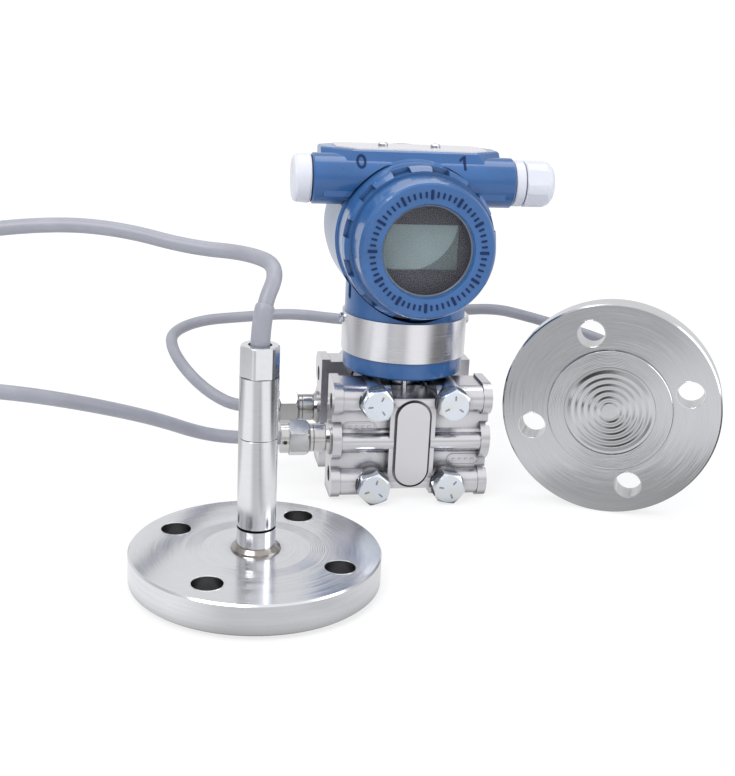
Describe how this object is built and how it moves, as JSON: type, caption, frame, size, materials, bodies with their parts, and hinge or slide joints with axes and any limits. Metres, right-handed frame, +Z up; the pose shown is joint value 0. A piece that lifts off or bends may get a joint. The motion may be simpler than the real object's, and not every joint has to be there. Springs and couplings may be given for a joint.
{
  "type": "differential pressure transmitter",
  "caption": "Pressure transmitter with a display head on a flanged sensor cell, joined by flexible capillaries to remote flanged diaphragm seals.",
  "frame": {"origin": "centre of the raised face of the left seal, which lies on the floor", "axes": "+X to the right, +Y away from the display, +Z up, along the turning axis of the housing"},
  "size_m": [0.4137, 0.3219, 0.1871],
  "materials": {
    "housing_paint": "gloss enamel",
    "machined_steel": "machined",
    "cast_steel": "satin cast",
    "zinc_steel": "zinc plated",
    "plate_metal": "satin",
    "gasket": "matte",
    "rubber_seal": "matte",
    "window_glass": "polished",
    "bezel_plastic": "matte",
    "lcd": "gloss",
    "circuit_board": "gloss",
    "white_plastic": "satin",
    "capillary_jacket": "satin"
  },
  "bodies": {
    "base": {"sensor_cell": "machined_steel", "cell_gaskets": "gasket", "front_flange": "cast_steel", "rear_flange": "cast_steel", "flange_bolts": "zinc_steel", "bolt_washers": "zinc_steel", "flange_nuts": "zinc_steel", "rotation_stop_pin": "machined_steel", "front_port_adapter": "machined_steel", "front_port_nut": "machined_steel", "front_port_collar": "machined_steel", "rear_port_adapter": "machined_steel", "rear_port_nut": "machined_steel", "rear_port_collar": "machined_steel", "left_seal_flange": "machined_steel", "left_diaphragm": "machined_steel", "left_weld_collar": "machined_steel", "left_stem_base": "machined_steel", "left_stem_tube": "machined_steel", "left_stem_head": "machined_steel", "left_capillary_sleeve": "capillary_jacket", "right_seal_flange": "machined_steel", "right_diaphragm": "machined_steel", "right_weld_collar": "machined_steel", "right_stem_base": "machined_steel", "right_stem_tube": "machined_steel", "right_stem_head": "machined_steel", "right_capillary_sleeve": "capillary_jacket", "capillary_one": "capillary_jacket", "capillary_two": "capillary_jacket"},
    "head": {"housing": "housing_paint", "collar_set_screw": "machined_steel", "top_nameplate": "plate_metal", "nameplate_screws": "zinc_steel", "neck_band": "plate_metal", "band_screws": "zinc_steel", "front_cover_seal": "rubber_seal", "rear_cover_seal": "rubber_seal", "display_bezel": "bezel_plastic", "display_module": "lcd", "display_standoffs": "machined_steel", "electronics_board": "circuit_board", "board_standoffs": "machined_steel", "terminal_block": "bezel_plastic", "terminal_screws": "zinc_steel", "gland_body": "white_plastic", "gland_body_seal": "rubber_seal", "gland_seal": "rubber_seal"},
    "front_cover": {"front_cover": "housing_paint", "window_gasket": "rubber_seal", "cover_window": "window_glass", "window_retainer": "machined_steel"},
    "rear_cover": {"rear_cover": "housing_paint"},
    "plug": {"plug_cap": "white_plastic", "plug_seal": "rubber_seal"},
    "gland_nut": {"gland_nut": "white_plastic"}
  },
  "joints": [
    {"name": "head_turn", "type": "hinge", "parent": "base", "child": "head", "pos_m": [0.0907, 0.1319, 0.1], "axis": [0, 0, 1], "range_deg": [-170, 170]},
    {"name": "front_cover_thread", "type": "hinge", "parent": "head", "child": "front_cover", "pos_m": [0.0907, 0.1019, 0.1391], "axis": [0, 1, 0], "continuous": true},
    {"name": "rear_cover_thread", "type": "hinge", "parent": "head", "child": "rear_cover", "pos_m": [0.0907, 0.1739, 0.1391], "axis": [0, 1, 0], "continuous": true},
    {"name": "plug_thread", "type": "hinge", "parent": "head", "child": "plug", "pos_m": [0.0327, 0.1319, 0.1685], "axis": [1, 0, 0], "continuous": true},
    {"name": "gland_nut_thread", "type": "hinge", "parent": "head", "child": "gland_nut", "pos_m": [0.1587, 0.1319, 0.1685], "axis": [1, 0, 0], "continuous": true}
  ]
}
